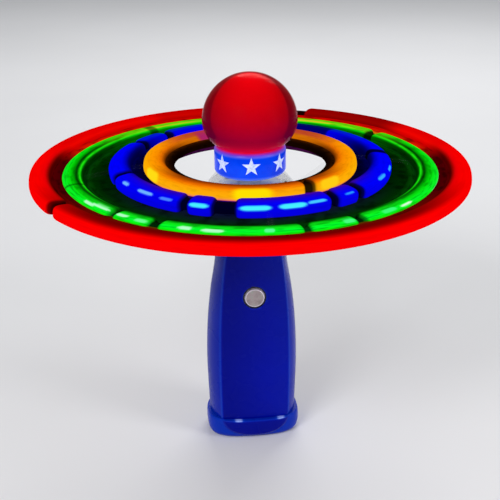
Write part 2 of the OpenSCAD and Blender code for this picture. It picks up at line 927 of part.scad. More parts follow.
// The chip on the strand inside each capsule
module arm_chips(k) {
    color("#f6f2d8")
        for (light = LIGHTS)
            on_strand(k, light[1])
                translate([-1.3, -1, strand_half_t(light[1]) + 0.15])
                    cube([2.6, 2, 0.8]);
}

handle_front_shell();
handle_rear_shell();
handle_screws();
battery_tray();
battery_1();
battery_2();
battery_3();
battery_contacts();
battery_springs();
circuit_board();
tact_switch();
motor_can();
motor_end_cap();
motor_screws();
head_plate();
spindle();
spindle_clip();
brushes();
collar();
globe();
globe_board();
globe_leds();
wiring();
base_cap();
base_cap_screw();
button();
switch_plunger();
motor_armature();
pinion();
rotor_gear();
rotor_bush();
rotor_shell();
rotor_cover();
rotor_screws();
slip_rings();
arm_pins();
for (k = ARMS) {
    arm_strand(k);
    arm_chips(k);
    for (light = LIGHTS)
        arm_capsule(k, light);
}
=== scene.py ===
import json
import math

import bmesh
import bpy
from mathutils import Matrix, Quaternion, Vector


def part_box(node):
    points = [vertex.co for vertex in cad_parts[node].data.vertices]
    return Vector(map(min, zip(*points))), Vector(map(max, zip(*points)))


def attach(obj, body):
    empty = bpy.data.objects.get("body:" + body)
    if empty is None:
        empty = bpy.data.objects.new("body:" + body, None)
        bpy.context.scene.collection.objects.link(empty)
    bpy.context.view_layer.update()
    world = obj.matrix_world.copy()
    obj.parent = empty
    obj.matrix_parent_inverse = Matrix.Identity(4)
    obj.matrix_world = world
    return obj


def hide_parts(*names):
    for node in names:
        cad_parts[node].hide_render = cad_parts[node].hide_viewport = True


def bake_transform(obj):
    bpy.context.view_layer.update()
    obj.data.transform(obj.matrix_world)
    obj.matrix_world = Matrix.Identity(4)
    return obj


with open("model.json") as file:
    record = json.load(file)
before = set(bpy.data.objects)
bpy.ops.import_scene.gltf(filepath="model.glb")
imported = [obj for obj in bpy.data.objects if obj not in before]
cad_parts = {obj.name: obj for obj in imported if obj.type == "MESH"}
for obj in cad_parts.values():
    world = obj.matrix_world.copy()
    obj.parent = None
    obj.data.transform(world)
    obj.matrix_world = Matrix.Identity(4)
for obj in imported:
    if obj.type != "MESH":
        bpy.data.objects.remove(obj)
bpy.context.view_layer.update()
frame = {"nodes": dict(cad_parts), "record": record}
nodes = frame["nodes"]

MM = 0.001
COLOURS = ("orange", "blue", "green", "red")
ARMS = (1, 2, 3, 4)

# ---- places read from the frame


def span(node):
    """Lowest and highest corner of a CAD node, in millimetres."""
    low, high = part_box(node)
    return low / MM, high / MM


GRIP_LOW, GRIP_HIGH = span("handle_front_shell")
COLLAR_LOW, COLLAR_HIGH = span("collar")
GLOBE_HIGH = span("globe")[1]
BUTTON_LOW, BUTTON_HIGH = span("button")

GRIP_HALF_W = GRIP_HIGH.x
GRIP_HALF_D = -GRIP_LOW.y
CAP_TOP = 12.0
HEAD_TOP = GRIP_HIGH.z
COLLAR_R = COLLAR_HIGH.x
GLOBE_R = GLOBE_HIGH.x
GLOBE_Z = GLOBE_HIGH.z - GLOBE_R
GLOBE_NECK_Z = COLLAR_HIGH.z
BUTTON_Z = (BUTTON_LOW.z + BUTTON_HIGH.z) / 2

# ---- camera

# The place the camera's distance is taken from: in the rings' plane, a hair left of the middle
HUB = Vector((-0.5 * MM, 0, 153.8 * MM))
CAMERA_AZIMUTH = -6.5
CAMERA_ELEVATION = 17.9
CAMERA_PITCH = 22.39
CAMERA_DISTANCE = 0.56
CAMERA_ROLL = -0.55
LENS = 77.8


def add_object(name, data):
    made = bpy.data.objects.new(name, data)
    bpy.context.scene.collection.objects.link(made)
    return made


def make_camera():
    """The photograph's view: a little to the left, the hub above the middle of the picture."""
    turn, rise = math.radians(CAMERA_AZIMUTH), math.radians(CAMERA_ELEVATION)
    pitch = math.radians(CAMERA_PITCH)
    back = Vector((math.sin(turn) * math.cos(rise), -math.cos(turn) * math.cos(rise), math.sin(rise)))
    ahead = Vector((-math.sin(turn) * math.cos(pitch), math.cos(turn) * math.cos(pitch), -math.sin(pitch)))
    data = bpy.data.cameras.new("camera")
    data.lens = LENS
    data.sensor_width = 36
    data.clip_start = 0.01
    camera = add_object("camera", data)
    camera.location = HUB + back * CAMERA_DISTANCE
    roll = Quaternion((0, 0, 1), math.radians(CAMERA_ROLL))
    camera.rotation_euler = (ahead.to_track_quat("-Z", "Y") @ roll).to_euler()
    bpy.context.scene.camera = camera


make_camera()

# ---- materials


def linear(colour):
    """A 0-255 screen colour as linear red, green, blue and alpha."""
    return tuple(((c / 255 + 0.055) / 1.055) ** 2.4 if c > 10 else c / 255 / 12.92 for c in colour) + (1.0,)


finishes = {}


class Nodes:
    """Short calls for building one material's node tree; finishes keeps the material by its name."""

    def __init__(self, name):
        self.material = bpy.data.materials.new(name)
        finishes[name] = self.material
        self.material.use_nodes = True
        self.tree = self.material.node_tree
        self.shader = self.tree.nodes["Principled BSDF"]

    def add(self, kind, **values):
        node = self.tree.nodes.new(kind)
        for key, value in values.items():
            setattr(node, key, value)
        return node

    def link(self, out, into):
        self.tree.links.new(out, into)

    def place(self, stretch=(1, 1, 1)):
        """Object coordinates, scaled."""
        mapping = self.add("ShaderNodeMapping")
        mapping.inputs["Scale"].default_value = stretch
        self.link(self.add("ShaderNodeTexCoord").outputs["Object"], mapping.inputs["Vector"])
        return mapping.outputs["Vector"]

    def noise(self, vector, scale, detail=3.0, roughness=0.5):
        node = self.add("ShaderNodeTexNoise")
        node.inputs["Scale"].default_value = scale
        node.inputs["Detail"].default_value = detail
        node.inputs["Roughness"].default_value = roughness
        self.link(vector, node.inputs["Vector"])
        return node.outputs["Fac"]

    def height(self):
        """Height up the object, from 0 at its bottom to 1 at its top."""
        parts = self.add("ShaderNodeSeparateXYZ")
        self.link(self.add("ShaderNodeTexCoord").outputs["Generated"], parts.inputs["Vector"])
        return parts.outputs["Z"]

    def painted(self, name):
        """What the mesh stores under a name: its Fac, Color and Alpha."""
        return self.add("ShaderNodeAttribute", attribute_name=name).outputs

    def ramp(self, value, stops):
        """A colour ramp through (place, colour) stops; a colour of three numbers is a screen colour."""
        node = self.add("ShaderNodeValToRGB")
        elements = node.color_ramp.elements
        while len(elements) < len(stops):
            elements.new(0.5)
        for element, (place, colour) in zip(elements, stops):
            element.position = place
            element.color = colour if len(colour) == 4 else linear(colour)
        self.link(value, node.inputs["Fac"])
        return node.outputs["Color"]

    def spread(self, value, low, high):
        """A 0-1 value spread over low to high."""
        node = self.add("ShaderNodeMapRange")
        node.inputs["From Min"].default_value = 0.3
        node.inputs["From Max"].default_value = 0.7
        node.inputs["To Min"].default_value = low
        node.inputs["To Max"].default_value = high
        self.link(value, node.inputs["Value"])
        return node.outputs["Result"]

    def mix(self, share, a, b, blend="MIX"):
        node = self.add("ShaderNodeMix", data_type="RGBA", blend_type=blend)
        factor, first, second = node.inputs[0], node.inputs[6], node.inputs[7]
        for socket, value in ((factor, share), (first, a), (second, b)):
            if isinstance(value, (int, float, tuple)):
                socket.default_value = value
            else:
                self.link(value, socket)
        return node.outputs[2]

    def bump(self, height, distance, strength=1.0, under=None):
        node = self.add("ShaderNodeBump")
        node.inputs["Distance"].default_value = distance
        node.inputs["Strength"].default_value = strength
        self.link(height, node.inputs["Height"])
        if under is not None:
            self.link(under, node.inputs["Normal"])
        return node.outputs["Normal"]

    def set(self, **values):
        """Plain values on the shader's own sockets; a name's underscores are spaces."""
        for key, value in values.items():
            self.shader.inputs[key.replace("_", " ")].default_value = value

    def feed(self, **outputs):
        for key, out in outputs.items():
            self.link(out, self.shader.inputs[key.replace("_", " ")])


def shade(colour, share):
    return tuple(c * share for c in colour[:3]) + (1.0,)


def grey(level):
    return (level, level, level, 1.0)


def moulded(name, colour, rough, grain=900, **values):
    """Moulded plastic: mottled colour, faint flow marks, a fine surface texture and uneven gloss."""
    n = Nodes(name)
    colour = linear(colour)
    spot = n.place()
    flow = n.noise(n.place((1, 1, 0.25)), 60, 4)
    n.feed(Base_Color=n.ramp(flow, [(0.3, shade(colour, 0.88)), (0.7, shade(colour, 1.12))]))
    n.feed(Roughness=n.spread(n.noise(spot, 140, 5, 0.6), rough * 0.8, rough * 1.25))
    n.feed(Normal=n.bump(n.noise(spot, grain, 3), 0.00004))
    n.set(**values)


def metal(name, colour, rough, stretch=(1, 1, 14)):
    """Drawn or turned metal: fine lines along one way and patches of duller surface."""
    n = Nodes(name)
    lines = n.noise(n.place(stretch), 260, 6, 0.7)
    patches = n.noise(n.place(), 90, 4)
    n.feed(Base_Color=n.ramp(lines, [(0.35, shade(colour, 0.8)), (0.65, shade(colour, 1.12))]))
    n.feed(Roughness=n.spread(patches, rough * 0.7, rough * 1.4))
    n.feed(Normal=n.bump(lines, 0.00002))
    n.set(Metallic=1.0)


def clear(name, colour, alpha):
    """Clear flexible plastic: see-through, with streaks and a glossy skin."""
    n = Nodes(name)
    streaks = n.noise(n.place((1, 1, 3)), 300, 3)
    n.feed(Base_Color=n.ramp(streaks, [(0.3, shade(colour, 0.92)), (0.7, colour)]))
    n.feed(Roughness=n.spread(streaks, 0.21, 0.45))
    n.feed(Normal=n.bump(streaks, 0.00003))
    n.set(Alpha=alpha, Specular_IOR_Level=0.05)


def lit_capsule(name, colour, glow):
    """A clear capsule lit from inside: brighter flecks where the chip shows through."""
    n = Nodes(name)
    colour, glow = linear(colour), linear(glow)
    flecks = n.noise(n.place(), 420, 3)
    n.feed(Base_Color=n.ramp(flecks, [(0.3, shade(colour, 0.7)), (0.7, colour)]))
    n.feed(Emission_Color=n.ramp(flecks, [(0.35, shade(glow, 0.75)), (0.65, glow)]))
    n.feed(Normal=n.bump(flecks, 0.00003))
    n.set(Emission_Strength=0.9, Roughness=0.15)


def handle_plastic():
    """Deep blue gloss plastic: cloudy depth, fine grain, and the painted light, shade and highlights stored
    in the mesh.
    """
    n = Nodes("handle_plastic")
    spot = n.place()
    halved = n.add("ShaderNodeMath", operation="MULTIPLY")
    halved.inputs[1].default_value = 0.5
    n.link(n.painted("painted_light")["Fac"], halved.inputs[0])
    # painted light: deep painted shade at 0, the plastic's own blue in the middle, pale painted highlights
    # at 1
    body = n.ramp(halved.outputs[0], [(0.0, (0, 3, 100)), (0.28, (0, 14, 156)), (0.5, (2, 34, 170)),
                                      (0.75, (10, 66, 200)), (1.0, (150, 175, 255))])
    clouds = n.noise(spot, 34, 2)
    n.feed(Base_Color=n.mix(n.spread(clouds, 0.0, 0.22), body, linear((0, 4, 100))))
    n.feed(Roughness=n.spread(n.noise(spot, 70, 2), 0.2, 0.32))
    fine = n.bump(n.noise(spot, 1100, 2), 0.00002)
    n.feed(Normal=n.bump(n.noise(n.place((1, 1, 0.35)), 45, 2), 0.0002, 0.5, fine))
    n.set(Specular_IOR_Level=0.07)


def collar_plastic():
    """Bright blue plastic that glows a little, with painted red light from the globe along its top and pale
    painted highlights along its edges.
    """
    n = Nodes("collar_plastic")
    height = n.height()
    blue = n.ramp(n.noise(n.place(), 60, 4), [(0.35, (0, 44, 196)), (0.68, (0, 66, 226))])
    # painted light: red from the globe along the top
    top = n.ramp(height, [(0.0, grey(0)), (0.84, grey(0)), (0.94, grey(0.25)), (1.0, grey(0.9))])
    colour = n.mix(top, blue, linear((190, 6, 40)))
    # painted highlights: pale lines along the bottom edge and just under the top
    edge = n.ramp(height, [(0.0, grey(0.6)), (0.07, grey(0.35)), (0.15, grey(0)), (0.8, grey(0)),
                           (0.88, grey(0.22)), (0.94, grey(0))])
    n.feed(Base_Color=colour)
    n.feed(Emission_Color=n.mix(edge, colour, linear((150, 185, 255))))
    n.feed(Roughness=n.spread(n.noise(n.place(), 160, 4), 0.14, 0.26))
    n.feed(Normal=n.bump(n.noise(n.place(), 700, 3), 0.00002))
    n.set(Emission_Strength=0.55, Specular_IOR_Level=0.12)


def star_print():
    """White screen print with a faint blue cast and tiny pinholes."""
    n = Nodes("star_print")
    grain = n.noise(n.place(), 700, 4, 0.7)
    white = n.ramp(grain, [(0.3, (150, 175, 235)), (0.6, (206, 216, 246))])
    n.feed(Base_Color=white, Emission_Color=white)
    n.feed(Normal=n.bump(grain, 0.00003))
    n.set(Emission_Strength=0.35, Roughness=0.4)


def globe_core():
    """The lit inside of the globe: brightest at the top, crimson lower down, bright at the neck."""
    n = Nodes("globe_core")
    light = n.ramp(n.height(), [(0.0, (240, 4, 12)), (0.1, (222, 3, 20)), (0.2, (206, 0, 60)),
                                (0.42, (246, 0, 40)), (0.7, (255, 0, 2)), (0.88, (238, 0, 2)),
                                (1.0, (226, 6, 4))])
    cloud = n.noise(n.place(), 40, 3)
    n.feed(Emission_Color=n.mix(n.spread(cloud, 0.0, 0.12), light, linear((150, 0, 4))))
    n.set(Base_Color=(0.05, 0, 0, 1), Emission_Strength=1.0, Roughness=1.0, Specular_IOR_Level=0.0)


def globe_shell():
    """Thick see-through red plastic that darkens with depth towards its rim."""
    n = Nodes("globe_plastic")
    spot = n.place()
    n.feed(Roughness=n.spread(n.noise(spot, 120, 4), 0.03, 0.08))
    n.feed(Normal=n.bump(n.noise(spot, 60, 2), 0.00008))
    glow = n.ramp(n.height(), [(0.0, (96, 2, 40)), (0.25, (94, 0, 44)), (0.5, (112, 0, 20)),
                               (0.7, (120, 0, 8))])
    n.feed(Emission_Color=n.mix(n.spread(n.noise(spot, 50, 3), 0.0, 0.15), glow, linear((96, 0, 10))))
    n.set(Base_Color=(1.0, 0.75, 0.78, 1), Transmission_Weight=1.0, IOR=1.05, Emission_Strength=1.0)
    depth = n.add("ShaderNodeVolumeAbsorption")
    depth.inputs["Color"].default_value = (0.72, 0.0, 0.1, 1)
    depth.inputs["Density"].default_value = 900
    output = n.tree.nodes["Material Output"]
    n.link(depth.outputs["Volume"], output.inputs["Volume"])


def button_plastic():
    """Silvered plastic of the button: fine turned rings and a few specks, and a pale painted highlight on
    its rim from the mesh's painted light.
    """
    n = Nodes("button_plastic")
    spot = n.place()
    clouds = n.noise(spot, 260, 5, 0.7)
    face = n.ramp(clouds, [(0.3, (136, 126, 124)), (0.5, (172, 156, 158)), (0.7, (158, 166, 156))])
    n.feed(Base_Color=n.mix(n.painted("painted_light")["Fac"], face, linear((226, 216, 226))))
    n.feed(Roughness=n.spread(n.noise(spot, 420, 4), 0.28, 0.45))
    n.feed(Normal=n.bump(n.noise(spot, 1500, 3), 0.00002))
    n.set(Metallic=0.2)


def circuit_board():
    """Green solder mask over a grid of paler copper tracks."""
    n = Nodes("board_green")
    spot = n.place()
    tracks = n.add("ShaderNodeTexBrick", offset=0.35, squash=1.6)
    n.link(spot, tracks.inputs["Vector"])
    tracks.inputs["Scale"].default_value = 260
    tracks.inputs["Mortar Size"].default_value = 0.06
    tracks.inputs["Color1"].default_value = linear((14, 84, 46))
    tracks.inputs["Color2"].default_value = linear((12, 74, 40))
    tracks.inputs["Mortar"].default_value = linear((60, 140, 80))
    n.feed(Base_Color=tracks.outputs["Color"])
    n.feed(Normal=n.bump(tracks.outputs["Fac"], 0.00003))
    n.set(Roughness=0.35, Coat_Weight=0.3)


def cell_wrap():
    """Plain shrink wrap on a dry cell: a dark band at the base and a gold upper part."""
    n = Nodes("cell_wrap")
    dark, gold, bare = (30, 30, 34), (196, 140, 40), (175, 175, 180)
    n.feed(Base_Color=n.ramp(n.height(), [(0.0, bare), (0.02, dark), (0.62, dark), (0.63, gold),
                                          (0.97, gold), (0.98, bare)]))
    n.feed(Roughness=n.spread(n.noise(n.place(), 200, 4), 0.2, 0.4))
    n.feed(Normal=n.bump(n.noise(n.place((1, 1, 0.2)), 300, 3), 0.00003))
    n.set(Metallic=0.4)


def trail_light():
    """The light that a turning lamp leaves: the mesh's own glow colours with streaks along the path."""
    n = Nodes("trail_light")
    glow = n.painted("glow")
    mapping = n.add("ShaderNodeMapping")
    mapping.inputs["Scale"].default_value = (0.5, 9, 1)
    n.link(n.add("ShaderNodeUVMap", uv_map="along").outputs["UV"], mapping.inputs["Vector"])
    streaks = n.noise(mapping.outputs["Vector"], 3, 2, 0.5)
    dim = n.ramp(streaks, [(0.34, grey(0.45)), (0.52, grey(1))])
    n.feed(Emission_Color=n.mix(glow["Alpha"], glow["Color"], n.mix(1.0, glow["Color"], dim, "MULTIPLY")))
    n.set(Base_Color=(0, 0, 0, 1), Emission_Strength=1.0, Roughness=1.0, Specular_IOR_Level=0.0)


handle_plastic()
collar_plastic()
star_print()
globe_core()
globe_shell()
button_plastic()
circuit_board()
cell_wrap()
trail_light()
clear("clear_plastic", (0.16, 0.17, 0.2, 1), 0.12)
clear("clear_strand", (0.05, 0.055, 0.06, 1), 0.03)
lit_capsule("capsule_orange", (255, 190, 60), (255, 170, 0))
lit_capsule("capsule_blue", (60, 90, 255), (0, 20, 250))
lit_capsule("capsule_green", (60, 255, 90), (0, 255, 30))
lit_capsule("capsule_red", (255, 70, 60), (254, 0, 2))
lit_capsule("led_red", (255, 90, 80), (255, 40, 30))
moulded("led_white", (238, 232, 200), 0.5, 2000, Emission_Strength=0.4, Emission_Color=(1, 0.95, 0.8, 1))
# painted shade: near-black blue for the recess round the button
moulded("recess_painted_shade", (0, 2, 46), 0.6)
moulded("black_plastic", (30, 30, 33), 0.45)
moulded("gear_plastic", (232, 229, 216), 0.38, Subsurface_Weight=0.1)
moulded("wire_cover", (176, 34, 30), 0.5)
metal("steel", (0.6, 0.61, 0.63, 1), 0.28)
metal("spring_steel", (0.2, 0.21, 0.23, 1), 0.35)
metal("steel_can", (0.55, 0.56, 0.58, 1), 0.32, (1, 1, 30))
metal("nickel", (0.72, 0.71, 0.68, 1), 0.2)
metal("copper", (0.72, 0.38, 0.2, 1), 0.3, (1, 1, 20))
metal("brass", (0.76, 0.55, 0.24, 1), 0.26, (1, 1, 24))

# ---- mesh tools


def mesh_object(name, points, faces, finish, smooth_angle=32):
    """A mesh object from points in millimetres, shaded smooth up to an angle."""
    mesh = bpy.data.meshes.new(name)
    mesh.from_pydata([tuple(c * MM for c in p) for p in points], [], faces)
    made = bmesh.new()
    made.from_mesh(mesh)
    bmesh.ops.recalc_face_normals(made, faces=made.faces)
    made.to_mesh(mesh)
    made.free()
    mesh.materials.append(finishes[finish])
    piece = add_object(name, mesh)
    smooth(mesh, smooth_angle)
    return piece


def smooth(mesh, angle):
    mesh.shade_smooth()
    mesh.set_sharp_from_angle(angle=math.radians(angle))


def paint_light(mesh, light_of):
    """Stores painted light and shade for each vertex, from its place in millimetres."""
    layer = mesh.color_attributes.new("painted_light", "FLOAT_COLOR", "POINT")
    for vertex, entry in zip(mesh.vertices, layer.data):
        entry.color = grey(light_of(*(vertex.co / MM)))


def grid_faces(rings, count, closed=True):
    """Faces between rings of count points each."""
    faces = []
    for r in range(rings - 1):
        for i in range(count if closed else count - 1):
            a, b = r * count + i, r * count + (i + 1) % count
            faces.append((a, b, b + count, a + count))
    return faces


def polar(turn, radius, z):
    """The point at an angle in degrees, a radius and a height."""
    a = math.radians(turn)
    return radius * math.cos(a), radius * math.sin(a), z


def rounded(turn, power):
    """Cosine and sine of an angle, squared off towards the corners."""
    a = math.radians(turn)
    return (math.copysign(abs(math.cos(a)) ** power, math.cos(a)),
            math.copysign(abs(math.sin(a)) ** power, math.sin(a)))


def lathe(name, profile, finish, steps=96, smooth_angle=32):
    """A closed solid turned about Z from (radius, height) pairs; a radius of 0 is one point."""
    points, rings = [], []
    for radius, height in profile:
        if radius < 1e-6:
            rings.append([len(points)])
            points.append((0, 0, height))
        else:
            first = len(points)
            rings.append(list(range(first, first + steps)))
            points += [polar(360 * i / steps, radius, height) for i in range(steps)]
    faces = []
    pairs = list(zip(rings, rings[1:]))
    if profile[0][0] > 1e-6:
        pairs.append((rings[-1], rings[0]))
    for low, high in pairs:
        if len(low) == len(high) == 1:
            continue
        for i in range(steps):
            j = (i + 1) % steps
            if len(low) == 1:
                faces.append((low[0], high[j], high[i]))
            elif len(high) == 1:
                faces.append((low[i], low[j], high[0]))
            else:
                faces.append((low[i], low[j], high[j], high[i]))
    return mesh_object(name, points, faces, finish, smooth_angle)


def arc(cx, cz, radius, start, end, steps):
    """Points on an arc, angles in degrees."""
    points = [polar(start + (end - start) * i / steps, radius, 0) for i in range(steps + 1)]
    return [(cx + x, cz + z) for x, z, _ in points]


def cut(piece, cutter):
    """Takes cutter out of piece for good."""
    modifier = piece.modifiers.new("cut", "BOOLEAN")
    modifier.operation = "DIFFERENCE"
    modifier.solver = "EXACT"
    modifier.object = cutter
    bpy.context.view_layer.update()
    result = bpy.data.meshes.new_from_object(piece.evaluated_get(bpy.context.evaluated_depsgraph_get()))
    piece.modifiers.clear()
    old = piece.data
    piece.data = result
    bpy.data.meshes.remove(old)
    bpy.data.objects.remove(cutter)


def bar_along_y(x, z, y0, y1, radius, steps=48):
    """A cutting cylinder along Y."""
    profile = [(0, y0), (radius, y0), (radius, y1), (0, y1)]
    bar = lathe("cutter", profile, "steel", steps)
    bar.data.transform(Matrix.Translation((x * MM, 0, z * MM)) @ Matrix.Rotation(math.radians(-90), 4, "X"))
    return bar


def curve_value(pairs, at):
    """Value of a smooth curve through (position, value) pairs."""
    i = 0
    while i < len(pairs) - 2 and at >= pairs[i + 1][0]:
        i += 1
    a, b, c, d = pairs[max(i - 1, 0)], pairs[i], pairs[i + 1], pairs[min(i + 2, len(pairs) - 1)]
    width = c[0] - b[0]
    t = (at - b[0]) / width
    slope_b = (c[1] - a[1]) / (c[0] - a[0]) * width
    slope_c = (d[1] - b[1]) / (d[0] - b[0]) * width
    return ((2 * t**3 - 3 * t**2 + 1) * b[1] + (t**3 - 2 * t**2 + t) * slope_b
            + (3 * t**2 - 2 * t**3) * c[1] + (t**3 - t**2) * slope_c)


def ease(low, high, value):
    """0 below low, 1 above high, smooth between."""
    t = min(1.0, max(0.0, (value - low) / (high - low)))
    return t * t * (3 - 2 * t)


# ---- handle

# Half width and half depth up the handle, as (height, share of the largest)
HALF_W = [(0, 0.960), (12, 0.964), (28, 0.986), (44, 1.0), (66, 0.968), (84, 0.891), (102, 0.777),
          (120, 0.735), (150, 0.729)]
HALF_D = [(0, 0.97), (12, 0.982), (44, 1.0), (66, 0.97), (84, 0.935), (102, 0.885), (120, 0.90),
          (150, 0.97)]
# Half width of the front panel up the handle, in millimetres
PANEL = [(0, 18.0), (12, 18.2), (40, 18.6), (66, 18.2), (84, 17.2), (102, 15.4), (118, 13.2), (128, 11.8),
         (140, 11.4)]
PANEL_CROWN = 1.7
WALL = 2.0
SECTION_POWER = 2 / 3
SEAM = 0.22
SEAM_CHAMFER = 0.2
BUTTON_RECESS = 0.7
# (x, height, y where the head sits) of the screws on one side of the back
SCREWS = ((19.9, 28, 8.4), (13.6, 98, 9.8))
SCREW_HOLE_R = 2.2


def half_sizes(z, inset):
    """Half width and half depth of the grip at a height, moved in by inset."""
    return curve_value(HALF_W, z) * GRIP_HALF_W - inset, curve_value(HALF_D, z) * GRIP_HALF_D - inset


def front_section(z, inset):
    """Front outline at a height, from the left side round the front to the right side."""
    w, d = half_sizes(z, inset)
    p = curve_value(PANEL, z) - inset * 0.6
    edge_y = -(d - PANEL_CROWN)
    side = []
    # one bent curve from the panel's edge back to the seam, its points closer together by the edge
    bend = (w - 0.9, edge_y * 0.63)
    for i in range(15):
        t = i / 14
        t = t * t * (1.6 - 0.6 * t)
        x = (1 - t) ** 2 * p + 2 * t * (1 - t) * bend[0] + t * t * w
        y = (1 - t) ** 2 * edge_y + 2 * t * (1 - t) * bend[1]
        side.append((x, y))
    middle = []
    for i in range(-14, 15):
        x = (p - 0.55) * math.sin(math.radians(90 * i / 14))
        middle.append((x, -(d - PANEL_CROWN * (abs(x) / p) ** 2.2)))
    return [(-x, y) for x, y in reversed(side)] + middle + side


def rear_section(z, inset):
    """Rear outline at a height, from the right side round the back to the left side."""
    w, d = half_sizes(z, inset)
    outline = []
    for i in range(49):
        across, deep = rounded(180 * i / 48, SECTION_POWER)
        outline.append((w * across, d * deep if 0 < i < 48 else 0.0))
    return outline


def end_strip(first, outer_count, count):
    """Faces that close one end of a half shell, between its outer and its inner outline."""
    outer = list(range(first, first + outer_count))
    inner = list(range(first + count - 2, first + outer_count, -1))
    faces = [(outer[i], outer[i + 1], inner[i + 1], inner[i]) for i in range(outer_count - 1)]
    faces.append((outer[-1], first + outer_count, first + outer_count + 1))
    faces.append((outer[0], first + count - 2, first + count - 1))
    return faces


def half_shell(name, section):
    """One half of the handle's wall, with a fine chamfer along the seam."""
    rings = 64
    points = []
    for r in range(rings + 1):
        z = CAP_TOP + (HEAD_TOP - CAP_TOP) * r / rings
        soften = 0.5 * (1 - ease(CAP_TOP, CAP_TOP + 0.8, z))  # rounds the edge above the cap
        outer = section(z, soften)
        inner = section(z, WALL)
        side = math.copysign(SEAM, outer[len(outer) // 2][1])
        flat = 0.03 * side
        outer[0] = (outer[0][0], side)
        outer[-1] = (outer[-1][0], side)
        rim = [(outer[-1][0] - math.copysign(SEAM_CHAMFER, outer[-1][0]), flat), (inner[-1][0], flat)]
        start = [(inner[0][0], flat), (outer[0][0] - math.copysign(SEAM_CHAMFER, outer[0][0]), flat)]
        ring = outer + rim + list(reversed(inner))[1:-1] + start
        points += [(x, y, z) for x, y in ring]
    count = len(ring)
    faces = grid_faces(rings + 1, count)
    faces += end_strip(0, len(outer), count) + end_strip(rings * count, len(outer), count)
    return mesh_object(name, points, faces, "handle_plastic", 40)


def front_painted_light(x, y, z):
    """Painted light and shade on the front: the panel painted darker towards its left, its edges and the
    sides painted paler.
    """
    edge = curve_value(PANEL, z)
    panel = 0.3 + 0.32 * ease(-edge, edge, x) + 0.1 * ease(60, 125, z)
    side = ease(edge - 0.9, edge + 0.2, abs(x))
    # painted highlight: a pale line along the panel's edge
    line = max(0.0, 1 - abs(abs(x) - edge - 0.3) / 0.9)  # a pale line along the panel's edge
    return panel + (0.95 - panel) * side + 0.35 * line


def make_handle():
    front = half_shell("handle_front_cover", front_section)
    paint_light(front.data, front_painted_light)
    button_hole = BUTTON_HIGH.x - 0.55
    recess_y = 0.45 - half_sizes(BUTTON_Z, 0)[1]
    cut(front, bar_along_y(0, BUTTON_Z, -25, -8, button_hole))
    cut(front, bar_along_y(0, BUTTON_Z, -25, recess_y, button_hole + BUTTON_RECESS))
    smooth(front.data, 40)
    # the recess round the button gets a painted shade
    front.data.materials.append(finishes["recess_painted_shade"])
    for face in front.data.polygons:
        place = face.center / MM
        if math.hypot(place.x, place.z - BUTTON_Z) < button_hole + BUTTON_RECESS + 0.01:
            face.material_index = 1
    rear = half_shell("handle_rear_cover", rear_section)
    # painted light: the back painted paler towards its sides
    paint_light(rear.data, lambda x, y, z: 0.6 + 0.3 * ease(GRIP_HALF_W * 0.6, GRIP_HALF_W, abs(x)))
    for x, z, seat in SCREWS:
        for side in (-1, 1):
            cut(rear, bar_along_y(side * x, z, seat, 25, SCREW_HOLE_R, 32))
    smooth(rear.data, 40)
    for piece, node in ((front, "handle_front_shell"), (rear, "handle_rear_shell")):
        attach(piece, "handle")
        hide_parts(node)


make_handle()

# ---- base cap

# Half width and half depth up the cap, as (height, millimetres)
CAP_W = [(0, 22.6), (0.6, 23.8), (1.7, 24.6), (3.2, 25.15), (5.8, 25.5), (8.3, 25.5), (10.8, 25.3),
         (12, 24.8)]
CAP_D = [(0, 13.6), (0.6, 14.9), (1.7, 15.9), (3.2, 16.6), (5.8, 17.0), (8.3, 17.2), (10.8, 17.2),
         (12, 16.8)]
CAP_STEPS = 220
CUP_HALF_W, CUP_HALF_D, CUP_TOP, CUP_FLOOR, CUP_WALL = 21.6, 13.6, 15.0, 2.2, 1.4
CAP_LIP_Z = 11.6
CAP_POST_Y = 11
TONGUE_HALF_W = 18.4
TONGUE_DEPTH = 10.2
TONGUE_PROUD = 0.9


def tongue(x, z):
    """How far the smooth face on the front of the cap stands out at a place, in millimetres."""
    reach = math.hypot(x / TONGUE_HALF_W, (CAP_TOP - z) / TONGUE_DEPTH)
    return TONGUE_PROUD * (1 - ease(0.9, 1.02, reach))


def cap_painted_light(x, y, z):
    """Painted shade and highlights on the cap: the smooth face painted darker than the rest of the cap, its
    top lip painted pale with two painted glints.
    """
    face = tongue(x, z) / TONGUE_PROUD if y < 0 else 0.0
    lip = ease(11.0, 11.6, z) * face
    # painted highlights: two glints on the lip
    glint = max(max(0.0, 1 - abs(x - at) / 4.2) for at in (-9.5, 14.0))
    return 1.2 - 0.8 * face + 0.7 * lip + 1.0 * lip * ease(0.1, 0.9, glint)


def cap_ring(z, w, d):
    """One ring of points round the cap, pushed out in front by the smooth face."""
    ring = []
    for i in range(CAP_STEPS):
        across, deep = rounded(360 * i / CAP_STEPS, SECTION_POWER)
        x, y = w * across, d * deep
        if y < 0:
            y -= tongue(x, z) * ease(0.0, 0.5, -y / d)
        ring.append((x, y, z))
    return ring


